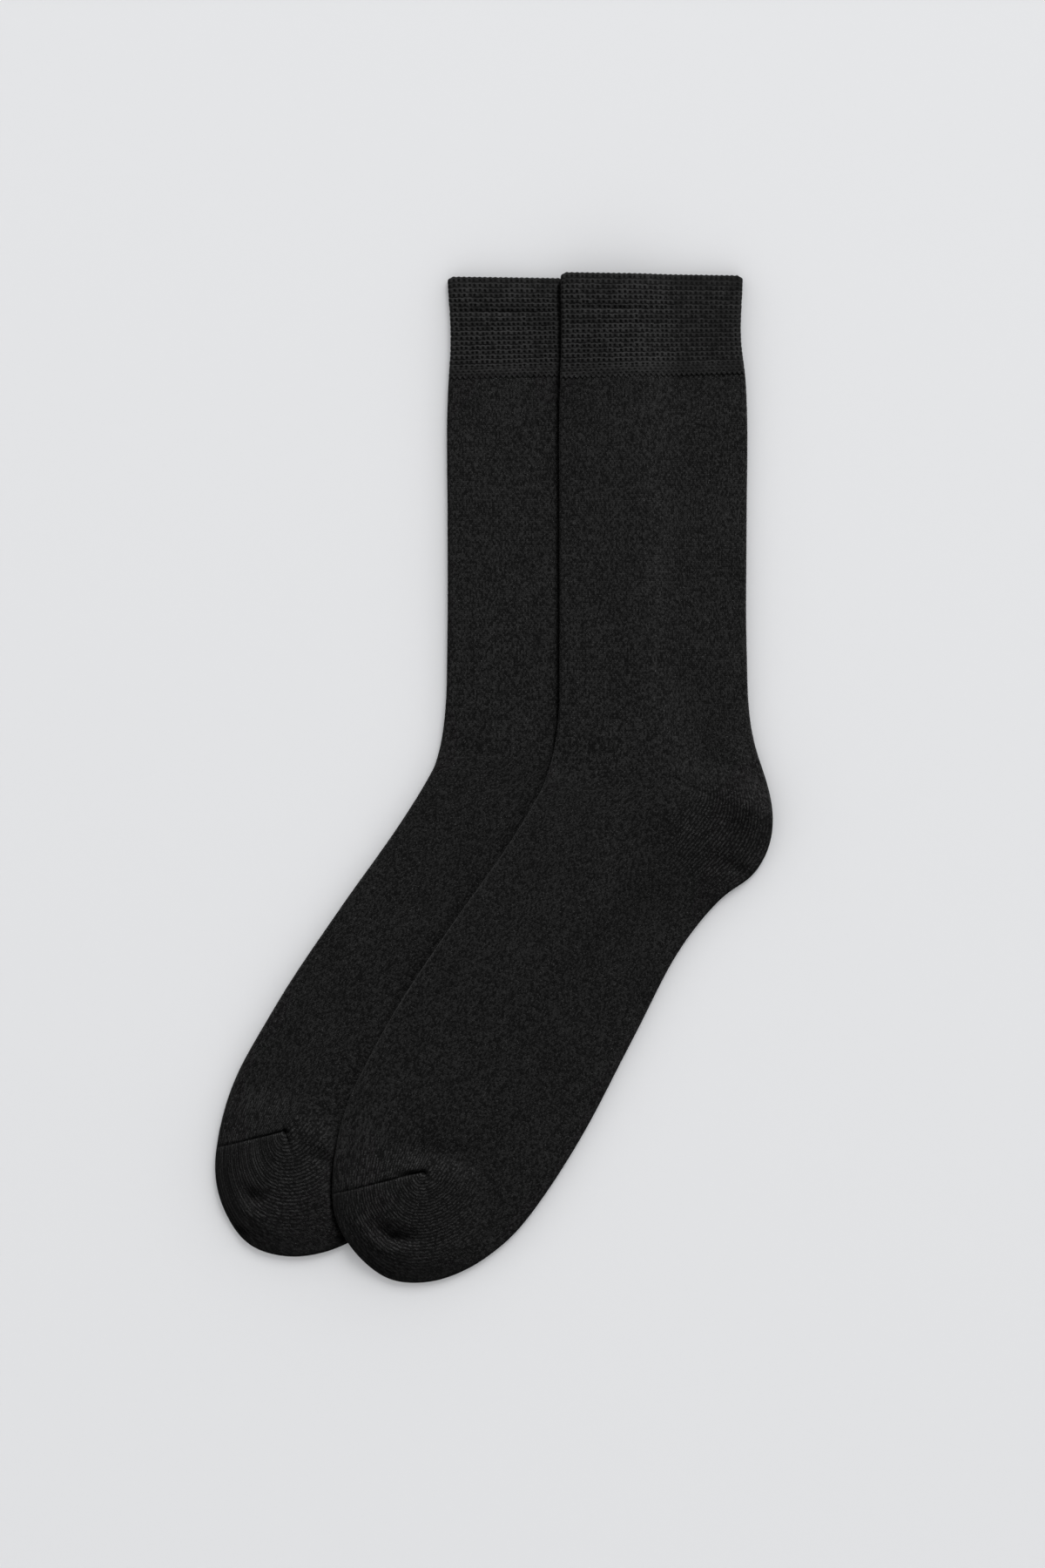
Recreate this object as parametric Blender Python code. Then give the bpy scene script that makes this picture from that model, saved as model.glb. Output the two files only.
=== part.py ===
"""A pair of knitted crew socks laid flat, the upper one lapped over the lower one.

Metres, +Z up. The socks lie on z = 0 with their cuffs towards +Y. Each sock is knitted as one tube: a cuff,
a leg, a heel pocket, a foot and a toe pocket. Each of these is a closed wall of cloth, pressed flat, with
a little air between its two layers and open where the next piece carries on.
"""

import math
from collections import namedtuple

import bmesh
import bpy
from mathutils import Vector

MM = 0.001

# Cloth, pressed flat.
JERSEY_WALL = 1.1 * MM
CUFF_WALL = 1.3 * MM
INNER_AIR = 0.8 * MM
PIECE_GAP = 0.3 * MM  # between pieces that are knitted on to each other
PILE_GAP = 0.4 * MM  # between the lower sock and the upper one
EDGE_TURN = 1.5 * MM  # how far past the lower sock's edge the upper one stays lifted
DRAPE_RUN = 14.0 * MM  # over which it then comes down to the table
CUFF_STEP = 10.0 * MM  # over which the lift changes from the jersey's thickness to the cuff's

# Facets.
UPPER_FACETS = 6  # across half of a layer
LOWER_FACETS = 3
FOLD_STEPS = 4  # round each folded edge
RING_STEP = 12.0 * MM  # between rings along the tube, at most
RAY_STEP = 6.0 * MM  # between a pocket's courses along its folded edge, at most
WELD = 1e-6
CREASE_DEGREES = 50.0  # edges sharper than this are shaded as creases

# Sizes below are in mm. A sock's own zero is the end of its heel gore, where the ankle turns.
# Rings of the knitted tube, from the cuff down: the two folded edges that each one runs between.
Ring = namedtuple("Ring", "name instep_x instep_y back_x back_y")
UPPER_RINGS = (
    Ring("cuff_top", -50.9, 237.0, 34.8, 235.8),
    Ring("cuff_low", -50.6, 197.2, 34.4, 198.0),
    Ring("cuff_base", -51.2, 186.6, 36.0, 189.4),
    Ring("leg_top", -51.5, 176.0, 36.6, 178.0),
    Ring("calf", -51.5, 120.1, 36.6, 120.1),
    Ring("shin", -51.5, 54.5, 36.7, 56.6),
    Ring("ankle", -52.0, 25.8, 38.5, 23.8),
    Ring("heel_start", -58.2, -2.9, 41.4, 11.1),
    Ring("heel_end", -58.2, -2.9, 41.0, -45.1),
    Ring("arch_high", -64.4, -14.8, 25.4, -56.6),
    Ring("arch_low", -74.6, -31.2, 9.8, -74.6),
    Ring("waist", -105.8, -75.4, -16.8, -123.4),
    Ring("ball", -135.7, -122.6, -43.5, -173.8),
    Ring("toes", -156.2, -170.2, -62.7, -203.0),
    Ring("toe_seam", -158.3, -198.4, -69.3, -211.6),
)
LOWER_RINGS = (
    Ring("cuff_top", -52.9, 226.3, 32.4, 225.1),
    Ring("cuff_low", -51.4, 188.2, 32.4, 188.6),
    Ring("cuff_base", -52.4, 177.6, 34.2, 180.0),
    Ring("leg_top", -52.9, 167.0, 34.9, 169.0),
    Ring("calf", -52.9, 111.1, 34.9, 111.1),
    Ring("shin", -53.1, 49.6, 35.1, 51.7),
    Ring("ankle", -53.9, 21.7, 37.7, 23.0),
    Ring("heel_start", -58.2, -2.9, 41.4, 11.1),
    Ring("heel_end", -58.2, -2.9, 41.0, -45.1),
    Ring("arch_high", -63.6, -13.1, 25.8, -54.9),
    Ring("arch_low", -73.4, -28.7, 10.7, -72.2),
    Ring("waist", -104.1, -72.2, -15.2, -120.1),
    Ring("ball", -134.9, -118.9, -42.6, -170.2),
    Ring("toes", -158.3, -166.1, -63.6, -200.5),
    Ring("toe_seam", -162.0, -188.2, -74.6, -208.7),
)
# A pocket's folded edge: how far it reaches from the pocket's corner, in each direction (degrees).
Reach = namedtuple("Reach", "degrees length")
HEEL_EDGE = (Reach(1.5, 44.7), Reach(-10.7, 48.4), Reach(-21.5, 52.7), Reach(-30.3, 56.1), Reach(-38.8, 58.9))
UPPER_TOE_EDGE = (
    Reach(-45.0, 51.2),
    Reach(-66.0, 51.2),
    Reach(-88.0, 53.2),
    Reach(-107.0, 54.4),
    Reach(-127.0, 51.0),
    Reach(-150.0, 47.4),
)
LOWER_TOE_EDGE = (
    Reach(-42.6, 62.4),
    Reach(-69.0, 60.9),
    Reach(-89.0, 60.0),
    Reach(-108.0, 56.8),
    Reach(-124.0, 49.0),
    Reach(-142.0, 41.2),
)
TOE_TURN_RINGS = 3  # over which the side line turns off the middle towards the toe pocket's corner
UPPER_TOE_CORNER = (-115.2, -184.9)
LOWER_TOE_CORNER = (-129.2, -175.1)
# The pockets hold a little air, which raises their upper walls in soft mounds.
Mound = namedtuple("Mound", "x y reach height")
UPPER_MOUNDS = (Mound(30.0, -14.0, 22.0, 1.4), Mound(-122.0, -212.0, 24.0, 1.2))
LOWER_MOUNDS = (Mound(-143.0, -197.0, 22.0, 1.2),)
LOWER_PLACE = (-51.2, 9.0)  # the lower sock's zero, from the upper one's

CUFF_COLOUR = (0.0135, 0.0135, 0.0137, 1.0)
JERSEY_COLOUR = (0.0125, 0.0125, 0.0127, 1.0)
CLOTH_ROUGHNESS = 0.92


class Path:
    """A smooth curve through points, read at a fractional point number."""

    def __init__(self, points):
        self.points = points
        self.last = len(points) - 1
        gaps = [(b - a).length for a, b in zip(points, points[1:])]
        self.gaps = gaps
        self.slopes = [(points[1] - points[0]) / gaps[0]]
        for i in range(1, self.last):
            before = (points[i] - points[i - 1]) / gaps[i - 1]
            after = (points[i + 1] - points[i]) / gaps[i]
            self.slopes.append((before * gaps[i] + after * gaps[i - 1]) / (gaps[i] + gaps[i - 1]))
        self.slopes.append((points[-1] - points[-2]) / gaps[-1])

    def at(self, number):
        i = min(int(number), self.last - 1)
        f = number - i
        gap = self.gaps[i]
        start = self.points[i] * (1 + 2 * f) * (1 - f) ** 2
        leave = self.slopes[i] * gap * f * (1 - f) ** 2
        end = self.points[i + 1] * f * f * (3 - 2 * f)
        arrive = self.slopes[i + 1] * gap * f * f * (f - 1)
        return start + leave + end + arrive


class Sock:
    """The plan of one sock: its outline, its side line and its soft mounds."""

    def __init__(self, name, rings, toe_edge, toe_corner, mounds, place, facets):
        shift = Vector(place) * MM
        self.name = name
        self.facets = facets
        self.mounds = [Mound(m.x * MM + shift.x, m.y * MM + shift.y, m.reach * MM, m.height * MM) for m in mounds]
        self.gore_end = shift
        self.toe_corner = Vector(toe_corner) * MM + shift
        names = [ring.name for ring in rings]
        self.cuff_base = names.index("cuff_base")
        self.ankle = names.index("heel_start")
        self.cuff_base_y = rings[self.cuff_base].instep_y * MM + shift.y
        instep = [Vector((ring.instep_x, ring.instep_y)) * MM + shift for ring in rings]
        back = [Vector((ring.back_x, ring.back_y)) * MM + shift for ring in rings]
        side = [(a + b) / 2 for a, b in zip(instep, back)]
        side[self.ankle] = self.gore_end
        toe_pull = self.toe_corner - side[-1]
        for k in range(TOE_TURN_RINGS):
            side[-1 - k] += toe_pull * (1 - k / TOE_TURN_RINGS)
        heel = [self.gore_end + polar(reach) for reach in HEEL_EDGE]
        toe = [self.toe_corner + polar(reach) for reach in toe_edge]
        # The ankle is one ring at the instep, where the leg's last ring and the foot's first one meet.
        below = self.ankle + 2
        leg_back = back[: self.ankle + 1]
        instep = instep[: self.ankle + 1] + instep[below:]
        self.outline = Path(leg_back + heel + back[self.ankle + 1 :] + toe + instep[::-1])
        self.side = Path(side[: self.ankle + 1] + side[below:])
        self.foot_start = self.ankle + len(heel) + 1
        self.foot_end = self.foot_start + self.side.last - self.ankle
        self.toe_end = self.foot_end + len(toe) + 1
        self.edge_points = [self.outline.at(k / 2) for k in range(2 * self.outline.last + 1)]

    def leg_section(self, row):
        """Instep edge, side line and back edge of the leg at a fractional row, counted from the cuff's top."""
        return self.outline.at(self.outline.last - row), self.side.at(row), self.outline.at(row)

    def foot_section(self, row):
        """The same for the foot, whose rows carry on from the ankle."""
        sole = self.outline.at(row - self.ankle + self.foot_start)
        return self.outline.at(self.outline.last - row), self.side.at(row), sole

    def mound(self, point):
        return sum(m.height * soft(1 - math.dist(point, (m.x, m.y)) / m.reach) for m in self.mounds)

    def top(self, point):
        """Height of the sock's upper face over the table."""
        cuff_share = soft((point.y - self.cuff_base_y) / CUFF_STEP + 1)
        wall = JERSEY_WALL + (CUFF_WALL - JERSEY_WALL) * cuff_share
        return 2 * wall + INNER_AIR + self.mound(point)

    def inside(self, point):
        """Distance from a point to the sock's outline, positive inside it."""
        nearest = math.inf
        within = False
        for a, b in zip(self.edge_points, self.edge_points[1:] + self.edge_points[:1]):
            run = b - a
            along = max(0.0, min(1.0, (point - a).dot(run) / run.length_squared))
            nearest = min(nearest, (point - a - run * along).length)
            if (a.y > point.y) != (b.y > point.y):
                within ^= point.x < a.x + run.x * (point.y - a.y) / run.y
        return nearest if within else -nearest


def polar(reach):
    angle = math.radians(reach.degrees)
    return Vector((math.cos(angle), math.sin(angle))) * reach.length * MM


def soft(x):
    """0 below 0, 1 above 1, and a soft step between."""
    x = max(0.0, min(1.0, x))
    return x * x * (3 - 2 * x)


def lift_over(lower, point):
    """Height of whatever lies under a sock at a point of the plan."""
    if lower is None:
        return 0.0
    return (lower.top(point) + PILE_GAP) * soft((lower.inside(point) + EDGE_TURN + DRAPE_RUN) / DRAPE_RUN)


def course(start, end, facets, half_thick, reach):
    """Half a course: from a side line over the upper layer, round the folded edge, and back below.

    Each entry is a plan point and its height over the middle of the cloth, for a face that lies reach from it.
    """
    out = (end - start).normalized()
    centre = end - out * half_thick
    upper = [(start.lerp(centre, k / facets), reach) for k in range(facets)]
    for k in range(FOLD_STEPS // 2):
        angle = math.pi / 2 * (1 - 2 * k / FOLD_STEPS)
        upper.append((centre + out * reach * math.cos(angle), reach * math.sin(angle)))
    lower = [(point, -height) for point, height in reversed(upper)]
    return upper + [(centre + out * reach, 0.0)] + lower


def ring(section, facets, half_thick, reach):
    """A whole course of the tube, from its side line over the back edge, below, and round the instep."""
    instep, side, back = section
    back_half = course(side, back, facets, half_thick, reach)
    instep_half = course(side, instep, facets, half_thick, reach)
    return back_half + instep_half[-2:0:-1]


def cloth_solid(name, outer, inner, closed_round, sock, lower, half_thick, material):
    """A closed wall between two faces, each given as courses of (plan point, height over the middle)."""
    rows = outer + inner[::-1]
    columns = len(rows[0])
    steps_round = columns if closed_round else columns - 1
    bm = bmesh.new()
    bmesh.ops.create_grid(bm, x_segments=steps_round, y_segments=len(rows), size=0.5)
    for vertex in bm.verts:
        column = round((vertex.co.x + 0.5) * steps_round) % columns
        row = round((vertex.co.y + 0.5) * len(rows)) % len(rows)
        point, height = rows[row][column]
        crown = sock.mound(point) * soft(0.5 + height / INNER_AIR)
        vertex.co = Vector((point.x, point.y, half_thick + height + crown + lift_over(lower, point)))
    bmesh.ops.remove_doubles(bm, verts=bm.verts, dist=WELD)
    bmesh.ops.recalc_face_normals(bm, faces=bm.faces)
    mesh = bpy.data.meshes.new(name)
    bm.to_mesh(mesh)
    bm.free()
    mesh.shade_smooth()
    mesh.set_sharp_from_angle(angle=math.radians(CREASE_DEGREES))
    mesh.materials.append(material)
    bpy.context.scene.collection.objects.link(bpy.data.objects.new(name, mesh))


def cloth_material(name, colour):
    material = bpy.data.materials.new(name)
    material.use_nodes = True
    shader = material.node_tree.nodes["Principled BSDF"]
    shader.inputs["Base Color"].default_value = colour
    shader.inputs["Roughness"].default_value = CLOTH_ROUGHNESS
    return material


def ring_rows(section, first, last):
    """Fractional rows from one ring of the table to another, no further apart than RING_STEP."""
    rows = []
    for row in range(first, last):
        longest = max((b - a).length for a, b in zip(section(row), section(row + 1)))
        steps = math.ceil(longest / RING_STEP)
        rows += [row + k / steps for k in range(steps)]
    return rows + [last]


def make_tube(piece, sock, section, first, last, wall, lower, material):
    """A stretch of the tube, its ends half a piece gap short of the rings that it runs between."""
    half_thick = wall + INNER_AIR / 2
    sections = [section(row) for row in ring_rows(section, first, last)]
    for end, beside in ((0, 1), (-1, -2)):
        pairs = zip(sections[end], sections[beside])
        sections[end] = [point + (inward - point).normalized() * PIECE_GAP / 2 for point, inward in pairs]
    outer = [ring(s, sock.facets, half_thick, half_thick) for s in sections]
    inner = [ring(s, sock.facets, half_thick, half_thick - wall) for s in sections]
    cloth_solid(f"{sock.name}_{piece}", outer, inner, True, sock, lower, half_thick, material)


def make_pocket(piece, sock, corner, first, last, lower, material):
    """A pocket knitted to and fro: its courses run out from a corner to the folded edge and back below."""
    half_thick = JERSEY_WALL + INNER_AIR / 2
    edge = []
    for point in range(first, last):
        gap = (sock.outline.at(point + 1) - sock.outline.at(point)).length
        steps = math.ceil(gap / RAY_STEP)
        edge += [sock.outline.at(point + k / steps) for k in range(steps)]
    edge.append(sock.outline.at(last))
    middle = (edge[len(edge) // 2] - corner).normalized()
    half_angle = max(abs(middle.angle_signed(end - corner)) for end in (edge[0], edge[-1]))
    tip = corner + middle * PIECE_GAP / math.sin(min(half_angle, math.pi / 2))
    for end, beside in ((0, 1), (-1, -2)):
        edge[end] = edge[end] + (edge[beside] - edge[end]).normalized() * PIECE_GAP
    outer = [course(tip, end, sock.facets, half_thick, half_thick) for end in edge]
    inner = [course(tip, end, sock.facets, half_thick, half_thick - JERSEY_WALL) for end in edge]
    cloth_solid(f"{sock.name}_{piece}", outer, inner, False, sock, lower, half_thick, material)


def make_sock(sock, lower, cuff_knit, jersey):
    make_tube("cuff", sock, sock.leg_section, 0, sock.cuff_base, CUFF_WALL, lower, cuff_knit)
    make_tube("leg", sock, sock.leg_section, sock.cuff_base, sock.ankle, JERSEY_WALL, lower, jersey)
    make_tube("foot", sock, sock.foot_section, sock.ankle, sock.side.last, JERSEY_WALL, lower, jersey)
    make_pocket("heel", sock, sock.gore_end, sock.ankle, sock.foot_start, lower, jersey)
    make_pocket("toe", sock, sock.toe_corner, sock.foot_end, sock.toe_end, lower, jersey)


def centre_pair():
    """Puts the middle of the pair's plan over the origin."""
    solids = list(bpy.context.scene.objects)
    points = [vertex.co for solid in solids for vertex in solid.data.vertices]
    middle_x = (min(p.x for p in points) + max(p.x for p in points)) / 2
    middle_y = (min(p.y for p in points) + max(p.y for p in points)) / 2
    for solid in solids:
        for vertex in solid.data.vertices:
            vertex.co.x -= middle_x
            vertex.co.y -= middle_y


def main():
    for thing in list(bpy.data.objects):
        bpy.data.objects.remove(thing)
    cuff_knit = cloth_material("cuff_knit", CUFF_COLOUR)
    jersey = cloth_material("jersey", JERSEY_COLOUR)
    lower = Sock(
        "lower_sock", LOWER_RINGS, LOWER_TOE_EDGE, LOWER_TOE_CORNER, LOWER_MOUNDS, LOWER_PLACE, LOWER_FACETS
    )
    upper = Sock("upper_sock", UPPER_RINGS, UPPER_TOE_EDGE, UPPER_TOE_CORNER, UPPER_MOUNDS, (0, 0), UPPER_FACETS)
    make_sock(lower, None, cuff_knit, jersey)
    make_sock(upper, lower, cuff_knit, jersey)
    centre_pair()


main()
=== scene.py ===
import math

import bmesh
import bpy
import numpy as np
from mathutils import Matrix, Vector


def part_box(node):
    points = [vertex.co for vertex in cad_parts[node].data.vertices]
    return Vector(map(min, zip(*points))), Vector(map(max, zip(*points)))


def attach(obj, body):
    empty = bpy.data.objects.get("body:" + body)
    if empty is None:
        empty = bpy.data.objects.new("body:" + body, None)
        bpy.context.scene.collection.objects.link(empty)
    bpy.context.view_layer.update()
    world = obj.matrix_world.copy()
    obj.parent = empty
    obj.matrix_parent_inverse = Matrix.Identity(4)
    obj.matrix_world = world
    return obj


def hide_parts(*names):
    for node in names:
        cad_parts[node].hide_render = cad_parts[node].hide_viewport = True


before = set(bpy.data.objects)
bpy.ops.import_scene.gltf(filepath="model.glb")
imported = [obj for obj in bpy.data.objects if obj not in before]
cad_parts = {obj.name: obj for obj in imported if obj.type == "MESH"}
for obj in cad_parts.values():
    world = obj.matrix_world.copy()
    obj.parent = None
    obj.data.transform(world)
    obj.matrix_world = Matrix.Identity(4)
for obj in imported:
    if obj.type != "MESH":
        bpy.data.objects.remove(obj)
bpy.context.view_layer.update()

mm = 0.001

# How the knit is laid out. Both socks come off the same machine.
knit = {
    "walesPerQuarter": 36,  # from the side line to a folded edge, on one layer
    "coursePitch": 0.95 * mm,
    "jerseyWall": 1.1 * mm,
    "edgeTurn": 1.5 * mm,  # how far past the lower sock's edge the upper one stays lifted
    "drapeRun": 21.0 * mm,  # over which it then comes down to the floor
    "cuffStep": 8.0 * mm,  # over which the lift changes from the jersey's thickness to the cuff's
    "pileGap": 0.35 * mm,
    "pressDepth": 0.6 * mm,  # how far the upper sock presses the lower one down
    "pressRun": 3.0 * mm,  # over which the lower one rises again beside it
    "rimRise": 2.0 * mm,  # how far the cuff's rim stands above the line where its courses are level
    "layerGap": 0.1 * mm,  # the least air between the two layers of a sock
    "waveHeight": 0.132 * mm,  # of the broad waves that the cloth lies in
    "legAcross": 88 * mm,  # laid flat
    "toePocket": 53 * mm,  # the toe pocket's length, from its corner
    "heelPocket": 30 * mm,  # what the heel pocket's extra courses add
}

# Headings, in degrees, of a course from the side line towards the instep and towards the sole or the back.
# share runs from the ankle's gore to the toe's corner.
footTurns = {
    "share": (0.0, 0.12, 0.3, 0.55, 0.8, 0.92, 1.0),
    "instep": (182.9, 170.0, 156.0, 151.5, 154.0, 166.0, 197.0),
    "sole": (-47.7, -38.0, -31.0, -28.5, -28.0, -29.0, -30.2),
}
legTurns = {
    "share": (0.0, 0.2, 0.45, 0.86, 1.0),
    "instep": (179.2, 181.8, 180.0, 180.0, 182.9),
    "back": (-0.8, 1.8, 0.0, 0.0, 15.0),
}


# plan of a sock, read from its solids


def planEdges(sockName):
    # every edge of the sock's solids, seen from above
    starts = []
    ends = []
    for nodeName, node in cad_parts.items():
        if nodeName.startswith(sockName):
            corners = np.array([vertex.co[:2] for vertex in node.data.vertices])
            pairs = np.array([edge.vertices[:] for edge in node.data.edges])
            starts.append(corners[pairs[:, 0]])
            ends.append(corners[pairs[:, 1]])
    return np.concatenate(starts), np.concatenate(ends)


def headingVector(degrees):
    return np.array([math.cos(math.radians(degrees)), math.sin(math.radians(degrees))])


def farthest(edges, start, degrees):
    # where a line from a plan point, in a heading, leaves the sock. Lines on both sides of it see past the
    # gaps between the solids.
    way = headingVector(degrees)
    across = np.array([-way[1], way[0]])
    reaches = []
    for shift in (-0.4 * mm, 0, 0.4 * mm):
        before = edges[0] - start - across * shift
        after = edges[1] - start - across * shift
        crossed = (before @ across) * (after @ across) < 0
        before, after = before[crossed], after[crossed]
        share = (before @ across) / ((before - after) @ across)
        reaches.append((before + (after - before) * share[:, None]) @ way)
    return start + way * np.concatenate(reaches).max()


def smoothPath(points, numbers):
    # a smooth curve through plan points, read at fractional point numbers
    points = np.asarray(points)
    slopes = np.gradient(points, axis=0)
    first = np.clip(np.floor(numbers).astype(int), 0, len(points) - 2)
    f = (np.asarray(numbers) - first)[:, None]
    near = points[first] * (1 + 2 * f) * (1 - f) ** 2 + slopes[first] * f * (1 - f) ** 2
    far = points[first + 1] * f * f * (3 - 2 * f) + slopes[first + 1] * f * f * (f - 1)
    return near + far


def nodePoint(nodeName, axis, sign):
    # the plan point of a solid that lies farthest along an axis
    corners = [vertex.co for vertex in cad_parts[nodeName].data.vertices]
    return np.array(max(corners, key=lambda co: sign * co[axis])[:2])


def makePlan(sockName):
    edges = planEdges(sockName)
    goreEnd = nodePoint(f"{sockName}_heel", 0, -1)
    toeCorner = nodePoint(f"{sockName}_toe", 1, 1)
    low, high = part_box(f"{sockName}_cuff")
    top = np.array([(low.x + high.x) / 2, high.y - knit["rimRise"]])
    spacing = 6.0 * mm

    def stretch(start, end, turns, backName):
        count = round(np.linalg.norm(end - start) / spacing)
        rows = []
        for share in np.linspace(0, 1, count + 1):
            side = start + (end - start) * share
            instep = np.interp(share, turns["share"], turns["instep"])
            back = np.interp(share, turns["share"], turns[backName])
            rows.append((side, farthest(edges, side, instep), farthest(edges, side, back)))
        return rows

    def pocket(corner, fromHeading, toHeading, count):
        headings = np.linspace(fromHeading, toHeading, count + 1)[1:-1]
        return [farthest(edges, corner, heading) for heading in headings]

    leg = stretch(top, goreEnd, legTurns, "back")
    foot = stretch(goreEnd, toeCorner, footTurns, "sole")
    heel = pocket(goreEnd, legTurns["back"][-1], footTurns["sole"][0], 10)
    seamEnd = foot[-1][1] - toeCorner
    seamHeading = math.degrees(math.atan2(seamEnd[1], seamEnd[0]))
    seamHeading -= 360 if seamHeading > 0 else 0
    toe = pocket(toeCorner, footTurns["sole"][-1], seamHeading, 24)
    cuffBaseY = (low.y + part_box(f"{sockName}_leg")[1].y) / 2
    cuffBase = (top[1] - cuffBaseY) / (top[1] - goreEnd[1]) * (len(leg) - 1)
    outline = [row[2] for row in leg] + heel + [row[2] for row in foot] + toe
    outline += [row[1] for row in foot[::-1]] + [row[1] for row in leg[-2::-1]]
    outline = np.array(outline)
    # the solids are faceted, the knit isn't
    outline[1:-1] = outline[1:-1] * 0.5 + (outline[:-2] + outline[2:]) * 0.25
    return {
        "side": np.array([row[0] for row in leg] + [row[0] for row in foot[1:]]),
        "outline": outline,
        "ankle": len(leg) - 1,
        "footStart": len(leg) + len(heel),
        "toeSeam": len(leg) + len(foot) - 2,
        "toeStart": len(leg) + len(heel) + len(foot) - 1,
        "toeEnd": len(leg) + len(heel) + len(foot) + len(toe),
        "cuffBase": cuffBase,
        "goreEnd": goreEnd,
        "toeCorner": toeCorner,
        "thick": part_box("lower_sock_leg")[1].z,
        "cuffThick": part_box("lower_sock_cuff")[1].z,
    }


plans = {sockName: makePlan(sockName) for sockName in ("lower_sock", "upper_sock")}
plans["lower_sock"].update(below=None, above=plans["upper_sock"])
plans["upper_sock"].update(below=plans["lower_sock"], above=None)
print("plans read from the solids")


# the shell's form


def soft(x):
    x = np.clip(x, 0, 1)
    return x * x * (3 - 2 * x)


def insideOf(outline, points):
    # distance to a sock's outline, positive inside it
    a = outline
    b = np.roll(outline, -1, axis=0)
    run = b - a
    result = np.empty(len(points))
    for k in range(0, len(points), 4000):
        p = points[k : k + 4000, None, :]
        share = np.clip(((p - a) * run).sum(2) / (run * run).sum(1), 0, 1)
        gap = np.linalg.norm(p - a - run * share[..., None], axis=2).min(1)
        spans = (a[:, 1] > p[..., 1]) != (b[:, 1] > p[..., 1])
        rise = np.where(run[:, 1] == 0, 1, run[:, 1])
        crossX = a[:, 0] + run[:, 0] * (p[..., 1] - a[:, 1]) / rise
        within = (spans & (p[..., 0] < crossX)).sum(1) % 2 == 1
        result[k : k + 4000] = np.where(within, gap, -gap)
    return result


def liftOver(lower, points):
    # how high the upper sock lies at a plan point
    if lower is None:
        return np.zeros(len(points))
    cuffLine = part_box("lower_sock_cuff")[0].y
    underCuff = soft((points[:, 1] - cuffLine) / knit["cuffStep"] + 1)
    top = lower["thick"] + (lower["cuffThick"] - lower["thick"]) * underCuff
    inside = insideOf(lower["outline"], points)
    draped = soft((inside + knit["edgeTurn"] + knit["drapeRun"]) / knit["drapeRun"])
    return (top - knit["pressDepth"] + knit["pileGap"]) * draped


def pressedUnder(upper, points):
    # 1 where another sock lies on this one, falling to 0 beside it
    if upper is None:
        return np.zeros(len(points))
    return soft((insideOf(upper["outline"], points) + knit["pressRun"]) / knit["pressRun"])


def crownHeights(plan, points):
    # the top layer rises gently from the outline, and more over the heel and the toe's pockets
    height = np.full(len(points), jersey["crown"])
    crowns = ((jersey["heelCrown"], "goreEnd"), (jersey["toeCrown"], "toeCorner"))
    for (rise, middle, reach), corner in crowns:
        gap = np.linalg.norm(points - plan[corner] - np.array(middle) * mm, axis=1) / mm
        height += rise * soft(1.5 - 1.5 * gap / reach)
    return height * soft(insideOf(plan["outline"], points) / jersey["crownRun"])


# shade: how much shade is painted into the knit's colour along the fold, at its start, middle and end
def fold(line, rise, width, shade=(0, 0, 0)):
    return {"line": line, "rise": rise, "width": width, "shade": shade}


def foldTerms(folds, origin, points):
    # soft troughs (below 0) and ridges (above 0) along short bent lines
    total = np.zeros(len(points))
    for row in folds:
        line = [origin + np.array(place) * mm for place in row["line"]]
        gap = np.full(len(points), 1.0)
        along = np.zeros(len(points))
        lengths = [np.linalg.norm(b - a) for a, b in zip(line, line[1:])]
        for k, (a, b) in enumerate(zip(line, line[1:])):
            run = b - a
            share = np.clip((points - a) @ run / (run @ run), 0, 1)
            distance = np.linalg.norm(points - a - share[:, None] * run, axis=1)
            nearer = distance < gap
            gap = np.where(nearer, distance, gap)
            along = np.where(nearer, (sum(lengths[:k]) + share * lengths[k]) / sum(lengths), along)
        depth = np.interp(along, (0, 0.5, 1), row["rise"]) * mm
        total += depth * np.exp(-((gap / (row["width"] * mm)) ** 2))
    return total


def courseSheet(starts, ends, shares, halfThick):
    # points of half courses: from the side line over the upper layer, round the folded edge and back below.
    # shares runs from 0 to 1 at the fold's middle. Returns places, outward ways and the middle's distance.
    way = ends - starts
    reach = np.linalg.norm(way, axis=1)
    way = way / reach[:, None]
    flat = reach - halfThick
    half = flat + halfThick * math.pi / 2
    s = shares[None, :] * half[:, None]
    out = np.minimum(s, flat[:, None])
    turn = np.maximum(s - flat[:, None], 0) / halfThick
    away = out + halfThick * np.sin(turn)
    place = np.empty(s.shape + (3,))
    place[..., :2] = starts[:, None, :] + way[:, None, :] * away[..., None]
    place[..., 2] = halfThick * np.cos(turn)
    facing = np.empty(s.shape + (3,))
    facing[..., :2] = way[:, None, :] * np.sin(turn)[..., None]
    facing[..., 2] = np.cos(turn)
    mirror = np.array([1, 1, -1])
    place = np.concatenate([place, (place * mirror)[:, -2::-1]], axis=1)
    facing = np.concatenate([facing, (facing * mirror)[:, -2::-1]], axis=1)
    return place, facing, half


def tubeSheet(plan, rows, fromNumber, shares, halfThick):
    # whole courses of the tube: from the side line below, round the instep, over the top, round the back
    side = smoothPath(plan["side"], rows)
    instep = smoothPath(plan["outline"], len(plan["outline"]) - 1 - rows)
    back = smoothPath(plan["outline"], rows + fromNumber)
    instepPlace, instepFacing, _ = courseSheet(side, instep, shares, halfThick)
    backPlace, backFacing, _ = courseSheet(side, back, shares, halfThick)
    place = np.concatenate([instepPlace[:, ::-1], backPlace[:, 1:]], axis=1)
    facing = np.concatenate([instepFacing[:, ::-1], backFacing[:, 1:]], axis=1)
    return place, facing


def quarterWales(shares):
    # wale numbers of a half course's points, over the top and back below
    top = shares * knit["walesPerQuarter"]
    return np.concatenate([top, 2 * knit["walesPerQuarter"] - top[-2::-1]])


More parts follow.
